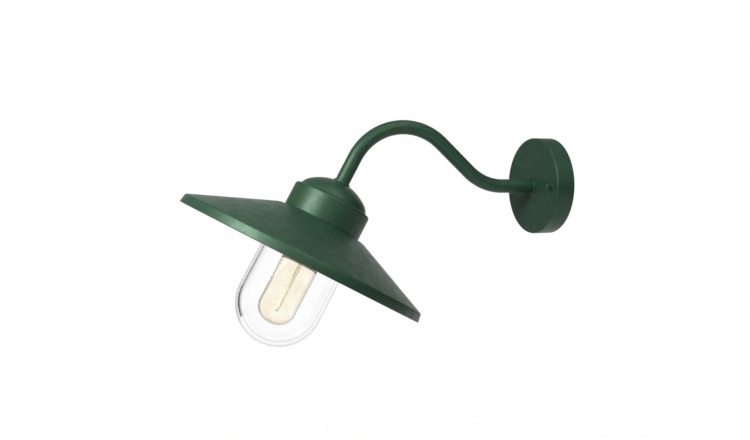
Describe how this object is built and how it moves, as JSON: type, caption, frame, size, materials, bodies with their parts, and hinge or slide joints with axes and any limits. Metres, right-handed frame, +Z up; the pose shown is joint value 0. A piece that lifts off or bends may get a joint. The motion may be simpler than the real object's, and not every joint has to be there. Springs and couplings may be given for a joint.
{
  "type": "gooseneck wall sconce",
  "caption": "Wall sconce with a round canopy, a gooseneck arm, a domed hood, a wide conical shade and a screw-in clear glass jar round a tubular bulb.",
  "frame": {"origin": "centre of the canopy's back, on the wall", "axes": "+Z up, +Y into the wall, so the light stands out to -Y; +X to the right of someone facing the wall"},
  "size_m": [0.3, 0.4532, 0.259],
  "materials": {
    "green_paint": "fine-textured satin powder coat, moss green",
    "zinc_steel": "zinc-plated steel",
    "brass": "plain brass",
    "black_rubber": "matt black rubber",
    "silicone": "translucent white silicone",
    "clear_glass": "clear pressed glass",
    "bulb_glass": "thin clear glass, slightly warm",
    "porcelain": "white glazed porcelain",
    "black_glass": "opaque black cap glass",
    "filament": "yellow filament",
    "nickel_wire": "nickel wire",
    "white_plastic": "white moulded plastic",
    "cable_sheath": "black cable sheath",
    "brown_insulation": "brown core insulation",
    "blue_insulation": "blue core insulation",
    "green_yellow_insulation": "green core insulation with a yellow stripe"
  },
  "bodies": {
    "fixture": {"canopy": "green_paint", "canopy_cap_nuts": "green_paint", "canopy_collar": "green_paint", "arm_tube": "green_paint", "hood_collar": "green_paint", "hood": "green_paint", "shade": "green_paint", "glass_gallery": "green_paint", "wall_bracket": "zinc_steel", "bracket_studs": "zinc_steel", "canopy_arm_washer": "zinc_steel", "canopy_arm_nut": "zinc_steel", "hood_arm_washer": "zinc_steel", "hood_arm_nut": "zinc_steel", "terminal_clamp_screws": "zinc_steel", "terminal_block_screws": "zinc_steel", "canopy_earth_screw": "zinc_steel", "hood_earth_screw": "zinc_steel", "gallery_screws": "zinc_steel", "lampholder_bracket": "zinc_steel", "lampholder_bracket_screws": "zinc_steel", "lampholder_screws": "zinc_steel", "lampholder_clamp_screws": "zinc_steel", "earth_ring_lugs": "zinc_steel", "terminal_inserts": "brass", "lampholder_socket": "brass", "lampholder_tongue": "brass", "lampholder_terminals": "brass", "canopy_gasket": "black_rubber", "hood_gasket": "black_rubber", "arm_grommets": "black_rubber", "lampholder_body": "porcelain", "terminal_block": "white_plastic", "arm_cable": "cable_sheath", "live_cores": "brown_insulation", "neutral_cores": "blue_insulation", "earth_cores": "green_yellow_insulation", "canopy_earth_lead": "green_yellow_insulation"},
    "gasket_ring": {"jar_gasket": "silicone"},
    "jar": {"glass_jar": "clear_glass"},
    "bulb": {"bulb_envelope": "bulb_glass", "bulb_cap": "brass", "bulb_cap_insulator": "black_glass", "bulb_contact": "brass", "bulb_stem": "bulb_glass", "bulb_filament": "filament", "bulb_lead_wires": "nickel_wire", "bulb_support_wire": "nickel_wire"}
  },
  "joints": [
    {"name": "jar_thread_travel", "type": "slide", "parent": "fixture", "child": "gasket_ring", "axis": [0, -0.4772, -0.8788], "range_m": [0, 0.01]},
    {"name": "jar_unscrew", "type": "hinge", "parent": "gasket_ring", "child": "jar", "pos_m": [0, -0.27243, 0.00381], "axis": [0, -0.4772, -0.8788], "range_deg": [0, 720]},
    {"name": "bulb_withdrawal", "type": "slide", "parent": "fixture", "child": "bulb", "axis": [0, -0.4772, -0.8788], "range_m": [0, 0.0145]}
  ],
  "couplings": [
    {"joint": "jar_thread_travel", "follows": "jar_unscrew", "m_per_rad": 0.00079577}
  ]
}
